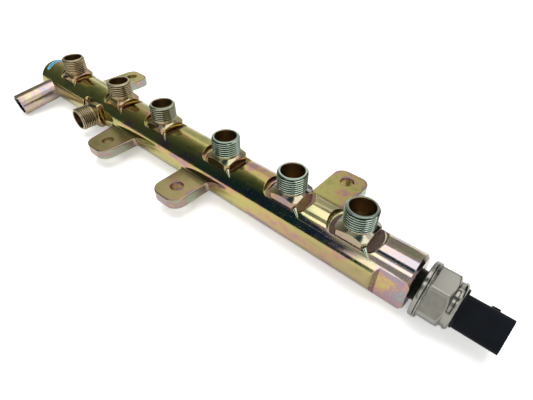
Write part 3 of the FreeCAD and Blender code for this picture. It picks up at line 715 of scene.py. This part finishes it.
def mark_grooves(piece):
    """Stores on every point how deep it lies in a thread groove, from 0 at the crest to 1 at the root."""
    thread = bpy.context.scene.fuel_rail_thread
    crest = INLET["dims"]["r_mm"] * MM
    # The rim's chamfer above the thread, and the socket's wall inside it, are no groove
    thread_top = STUB_TOP - 0.0006
    inside = SOCKET_RADIUS + 0.0005
    depths = []
    for vertex in piece.data.vertices:
        radius, height = stub_place(vertex.co)
        depth = min(max((crest - radius) / thread.depth, 0.0), 1.0)
        threaded = THREAD_FOOT < height < thread_top and radius > inside
        depths.append(depth if threaded else 0.0)
    piece.data.attributes.new("groove", "FLOAT", "POINT").data.foreach_set("value", depths)


def in_lug_hole(point):
    """Whether a point lies on the wall of one of the lugs' holes."""
    for mount in LUG_HOLES:
        across = abs(abs(point.x - mount["pos_m"][0]) - mount["dims"]["spacing_x_mm"] * MM / 2)
        if math.hypot(across, point.y - mount["pos_m"][1]) < mount["dims"]["hole_r_mm"] * MM + TOLERANCE:
            return True
    return False


def stub_place(point):
    """Distance of a point from the nearest stub's own axis, and height above the rail's axis along it."""
    nearest = min(abs(point.x - mount["pos_m"][0]) for mount in OUTLETS)
    top = (math.hypot(nearest, point.y - RAIL_AXIS_Y), point.z - RAIL_AXIS_Z)
    front = (math.hypot(point.x - INLET["pos_m"][0], point.z - RAIL_AXIS_Z), RAIL_AXIS_Y - point.y)
    # Between the two the nearer stub counts, and elsewhere the one on whose side the point lies
    on_both_sides = min(top[1], front[1]) > 0.01
    return min(top, front) if on_both_sides else max(top, front, key=lambda pair: pair[1])


def mount_matrix(mount):
    """Turns Z onto a mount's axis and moves the origin to the mount's place."""
    axis = Vector(mount["axis"])
    return Matrix.Translation(Vector(mount["pos_m"])) @ axis.to_track_quat("Z", "X").to_matrix().to_4x4()


class FUELRAIL_OT_forging(bpy.types.Operator):
    """Cuts the screw threads into a copy of the rail's body, and adds the burrs at its bosses"""

    bl_idname = "fuelrail.forging"
    bl_label = "Threaded rail forging"

    def execute(self, context):
        """Builds the piece."""
        finish = context.scene.fuel_rail_finish
        mounts = [*OUTLETS, INLET]
        radius = INLET["dims"]["r_mm"] * MM
        length = INLET["dims"]["length_mm"] * MM
        # The groove starts clear above the stub's end and runs out just below the thread's foot
        lead_in = 0.002
        below = 0.0004
        groove = thread_groove("groove", radius, length, lead_in)
        groove.data.transform(Matrix.Translation((0, 0, -length / 2 - below)))
        cutters = []
        for index, mount in enumerate(mounts):
            # No two threads start at the same angle
            turned = Matrix.Rotation(math.radians(50 * index), 4, "Z")
            cutters.append(placed_copy(groove, f"groove_{index}", mount_matrix(mount) @ turned))
        bpy.data.objects.remove(groove)
        piece = merged_copy("rail_body", "rail_forging")
        spurs = [corner_spur(mount["pos_m"][0]) for mount in OUTLETS]
        combine(piece, join(spurs), "UNION")
        combine(piece, join(cutters), "DIFFERENCE")
        finish_skin(piece, frame["nodes"]["rail_body"])
        mark_zones(piece)
        mark_grooves(piece)
        piece.data.materials.clear()
        piece.data.materials.append(plated_steel(finish))
        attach(piece, "root")
        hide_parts("rail_body")
        return {"FINISHED"}


class FUELRAIL_OT_finishes(bpy.types.Operator):
    """Gives every piece that keeps its CAD shape its finish"""

    bl_idname = "fuelrail.finishes"
    bl_label = "Finishes of the other pieces"

    def execute(self, context):
        """Assigns the materials."""
        finish = context.scene.fuel_rail_finish
        steel = sensor_steel(finish)
        tube = plated_tube(finish)
        plain = plain_metal("plain_stainless_steel", linear("#9A9A96"), linear("#B8B7B2"))
        contact = plain_metal("tinned_contact_brass", linear("#C9B26B"), linear("#DCCB92"))
        dark = tuple(part * 0.6 for part in finish.polymer)
        housing = moulded_polymer("glass_filled_black_nylon", dark, finish.polymer, 0.42)
        board = moulded_polymer("glass_epoxy_laminate", linear("#1F4A2C"), linear("#2C6238"), 0.4)
        chip = moulded_polymer("epoxy_chip_case", linear("#17181A"), linear("#232427"), 0.5)
        rubber = moulded_polymer("fluoro_rubber", linear("#3A1C18"), linear("#4A251F"), 0.6)
        # What differs only in its number shares a finish, and the rail's body has its own piece
        chosen = {
            "side_tube": tube,
            "sensor_port": steel,
            "sensor_shell": steel,
            "sensor_element": plain,
            "sensor_connector": housing,
            "sensor_board_holder": housing,
            "sensor_board": board,
            "sensor_board_chip": chip,
            "sensor_gauge": chip,
            "sensor_seal": rubber,
            "sensor_capacitor": contact,
            "contact_spring": plain,
            "connector_pin": contact,
        }
        for name, cad in frame["nodes"].items():
            if name != "rail_body":
                cad.data.materials[0] = chosen[name.rstrip("_123")]
        return {"FINISHED"}


def stage_card(name, centre, facing, width, height, tones, strength):
    """A flat studio card or flag that only mirrors see, with its tones spread evenly over its width."""
    deselect_all()
    bpy.ops.mesh.primitive_plane_add(size=1.0)
    card = bpy.context.object
    card.name = name
    turn = Vector(facing).normalized().to_track_quat("Z", "Y").to_matrix().to_4x4()
    card.data.transform(Matrix.Translation(centre) @ turn @ Matrix.Diagonal((width, height, 1, 1)))
    material, tree = new_material(name)
    across = turn.to_3x3() @ Vector((1, 0, 0)) / width
    inputs = {0: node(tree, "ShaderNodeTexCoord", output="Object"), 1: across}
    share = node(tree, "ShaderNodeVectorMath", inputs, output="Value", operation="DOT_PRODUCT")
    share = node(tree, "ShaderNodeMath", {0: share, 1: 0.5 - centre.dot(across)}, operation="ADD")
    stops = [(place / (len(tones) - 1), linear(tone)) for place, tone in enumerate(tones)]
    colour = node(tree, "ShaderNodeValToRGB", {"Fac": share}, stops=stops)
    glow = node(tree, "ShaderNodeEmission", {"Color": colour, "Strength": strength})
    node(tree, "ShaderNodeOutputMaterial", {"Surface": glow})
    card.data.materials.append(material)
    card.visible_camera = False
    card.visible_diffuse = False
    card.visible_shadow = False


def soft_lamp(name, centre, target, width, height, power):
    """A rectangular softbox aimed at a point."""
    data = bpy.data.lights.new(name, "AREA")
    data.shape = "RECTANGLE"
    data.size = width
    data.size_y = height
    data.energy = power
    lamp = bpy.data.objects.new(name, data)
    lamp.visible_glossy = False
    bpy.context.scene.collection.objects.link(lamp)
    way = Vector(target) - Vector(centre)
    turn = way.to_track_quat("-Z", "Y").to_matrix().to_4x4()
    lamp.matrix_world = Matrix.Translation(Vector(centre)) @ turn


def pale_floor(low):
    """A plain floor under the part, a little brighter to the camera than to the light that it gives back."""
    deselect_all()
    bpy.ops.mesh.primitive_plane_add(size=6.0, location=(0, 0, 0))
    floor = bpy.context.object
    floor.name = "stage_floor"
    clear = 0.0002
    floor.data.transform(Matrix.Translation((0, 0, low - clear)))
    material, tree = new_material("pale_floor")
    camera_ray = node(tree, "ShaderNodeLightPath", output="Is Camera Ray")
    matt = node(tree, "ShaderNodeBsdfDiffuse", {"Color": (*linear("#F4F4F2"), 1.0)})
    glow = node(tree, "ShaderNodeEmission", {"Color": (1, 1, 1, 1), "Strength": 0.35})
    both = node(tree, "ShaderNodeAddShader", {0: matt, 1: glow})
    seen = node(tree, "ShaderNodeMixShader", {"Fac": camera_ray, 1: matt, 2: both})
    node(tree, "ShaderNodeOutputMaterial", {"Surface": seen})
    floor.data.materials.append(material)


def studio_world():
    """White surroundings to the camera, to mirrors and to glass, and a weaker white light on the rest."""
    world = bpy.data.worlds.new("studio")
    bpy.context.scene.world = world
    world.use_nodes = True
    tree = world.node_tree
    tree.nodes.clear()
    ray = node(tree, "ShaderNodeLightPath").node.outputs
    inputs = {0: ray["Is Glossy Ray"], 1: ray["Is Transmission Ray"]}
    shown = node(tree, "ShaderNodeMath", inputs, operation="MAXIMUM")
    shown = node(tree, "ShaderNodeMath", {0: shown, 1: ray["Is Camera Ray"]}, operation="MAXIMUM")
    bright = node(tree, "ShaderNodeBackground", {"Color": (1, 1, 1, 1), "Strength": 1.0})
    fill = node(tree, "ShaderNodeBackground", {"Color": (1, 1, 1, 1), "Strength": 0.55})
    both = node(tree, "ShaderNodeMixShader", {"Fac": shown, 1: fill, 2: bright})
    node(tree, "ShaderNodeOutputWorld", {"Surface": both})


def fitted_camera(focal_length):
    """The camera, in the place and with the direction that were fitted to the photograph."""
    data = bpy.data.cameras.new("camera")
    data.lens = focal_length
    data.sensor_width = 36.0
    data.clip_start = 0.005
    camera = bpy.data.objects.new("camera", data)
    bpy.context.scene.collection.objects.link(camera)
    forward = Vector((-0.48345, 0.56903, -0.66519)).normalized()
    right = Vector((0.75534, 0.65523, 0.01155))
    right = (right - forward * right.dot(forward)).normalized()
    turn = Matrix((right, right.cross(forward), -forward)).transposed().to_4x4()
    camera.matrix_world = Matrix.Translation((0.22037, -0.11318, 0.17530)) @ turn
    bpy.context.scene.camera = camera


class FUELRAIL_OT_stage(bpy.types.Operator):
    """Lays the floor and places the lamps, flags and camera"""

    bl_idname = "fuelrail.stage"
    bl_label = "Stage"

    def execute(self, context):
        """Builds the stage."""
        stage = context.scene.fuel_rail_stage
        low = min(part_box(name)[0].z for name in frame["nodes"])
        pale_floor(low)
        studio_world()
        aim = (0.03, 0.03, 0.01)
        soft_lamp("overhead_softbox", (0.0, 0.1, 1.1), aim, 1.3, 0.7, stage.lamp_power)
        soft_lamp("side_softbox", (0.5, -1.0, 0.8), aim, 0.8, 0.6, stage.lamp_power * 0.6)

        # Standing cards, which face the part: azimuth, distance, height of the middle, width, height, tones
        # and strength
        flag_tones = ["#203442", "#122E40", "#525A52", "#868676", "#C8CABE"]
        standing = {
            "dark_flag": (-157, 2.0, 2.2, 4.8, 4.4, flag_tones, 1.0),
            "front_flag": (-113.6, 1.7, 0.95, 0.77, 1.9, ["#162E4A", "#162E4A"], 1.0),
            "strip_softbox": (-92.8, 1.27, 0.68, 0.16, 0.72, ["#FFFFFF", "#FFFFFF"], 2.0),
            "low_flag": (-96.2, 1.24, 0.06, 0.18, 0.46, ["#3A4C54", "#3A4C54"], 1.0),
            "low_grey_card": (-83.2, 1.39, 0.05, 0.34, 0.5, ["#D0D0CC", "#E0E0DC"], 1.0),
            "rear_grey_card": (90.8, 1.22, 0.75, 0.25, 1.2, ["#949490", "#949490"], 1.0),
            "right_card": (48, 2.2, 0.95, 2.5, 1.9, ["#242424", "#2A2A2A", "#444442"], 1.0),
            "back_card": (120, 2.0, 0.7, 2.2, 1.4, ["#C4C8C4", "#DADAD4", "#8C8C88"], 1.0),
        }
        for name, (azimuth, distance, raised, width, height, tones, strength) in standing.items():
            way = Vector((math.cos(math.radians(azimuth)), math.sin(math.radians(azimuth)), 0.0))
            centre = way * distance + Vector((0, 0, raised))
            stage_card(name, centre, -way, width, height, tones, strength)
        # Overhead cards along the rail: middle, length along X, width, tone and strength
        overhead = {
            "overhead_grey": ((0.185, 0.0, 1.27), 1.33, 3.2, "#A6A6A2", 1.0),
            "overhead_back_light": ((0.185, 0.32, 1.25), 1.33, 0.80, "#FFFFFF", 1.9),
            "overhead_gap": ((0.33, -0.13, 1.24), 1.06, 0.27, "#2E4854", 1.0),
            "overhead_front_light": ((0.185, -0.60, 1.25), 1.33, 0.32, "#FFFFFF", 2.1),
            "back_softbox": ((0.85, 1.1, 1.3), 0.7, 0.5, "#FFFFFF", 2.0),
            "sensor_softbox": ((0.3, 1.05, 1.24), 0.36, 0.5, "#FFFFFF", 1.4),
        }
        for name, (centre, length, width, tone, strength) in overhead.items():
            stage_card(name, Vector(centre), (0, 0, -1), length, width, [tone, tone], strength)

        fitted_camera(stage.focal_length)
        context.scene.view_settings.view_transform = "Standard"
        return {"FINISHED"}


class FUELRAIL_PT_panel(bpy.types.Panel):
    """Lists what the script builds, with its sizes and colours"""

    bl_idname = "FUELRAIL_PT_panel"
    bl_label = "Fuel rail"
    bl_space_type = "VIEW_3D"
    bl_region_type = "UI"
    bl_category = "Fuel rail"

    def draw(self, context):
        """Draws the panel."""
        for group_name in GROUPS:
            group = getattr(context.scene, group_name)
            box = self.layout.box()
            for name in group.bl_rna.properties.keys():
                if name not in ("rna_type", "name"):
                    box.prop(group, name)
        for operator in OPERATORS:
            self.layout.operator(operator.bl_idname)


GROUPS = {
    "fuel_rail_thread": FuelRailThread,
    "fuel_rail_spur": FuelRailSpur,
    "fuel_rail_finish": FuelRailFinish,
    "fuel_rail_stage": FuelRailStage,
}
OPERATORS = [FUELRAIL_OT_forging, FUELRAIL_OT_finishes, FUELRAIL_OT_stage]


def register():
    """Registers the groups, the operators and the panel."""
    for name, group in GROUPS.items():
        bpy.utils.register_class(group)
        setattr(bpy.types.Scene, name, bpy.props.PointerProperty(type=group))
    for operator in OPERATORS:
        bpy.utils.register_class(operator)
    bpy.utils.register_class(FUELRAIL_PT_panel)


def unregister():
    """Unregisters the panel, the operators and the groups."""
    bpy.utils.unregister_class(FUELRAIL_PT_panel)
    for operator in reversed(OPERATORS):
        bpy.utils.unregister_class(operator)
    for name, group in reversed(list(GROUPS.items())):
        delattr(bpy.types.Scene, name)
        bpy.utils.unregister_class(group)


def main():
    """Builds everything in order."""
    register()
    bpy.ops.fuelrail.forging()
    bpy.ops.fuelrail.finishes()
    bpy.ops.fuelrail.stage()


if __name__ == "__main__":
    main()
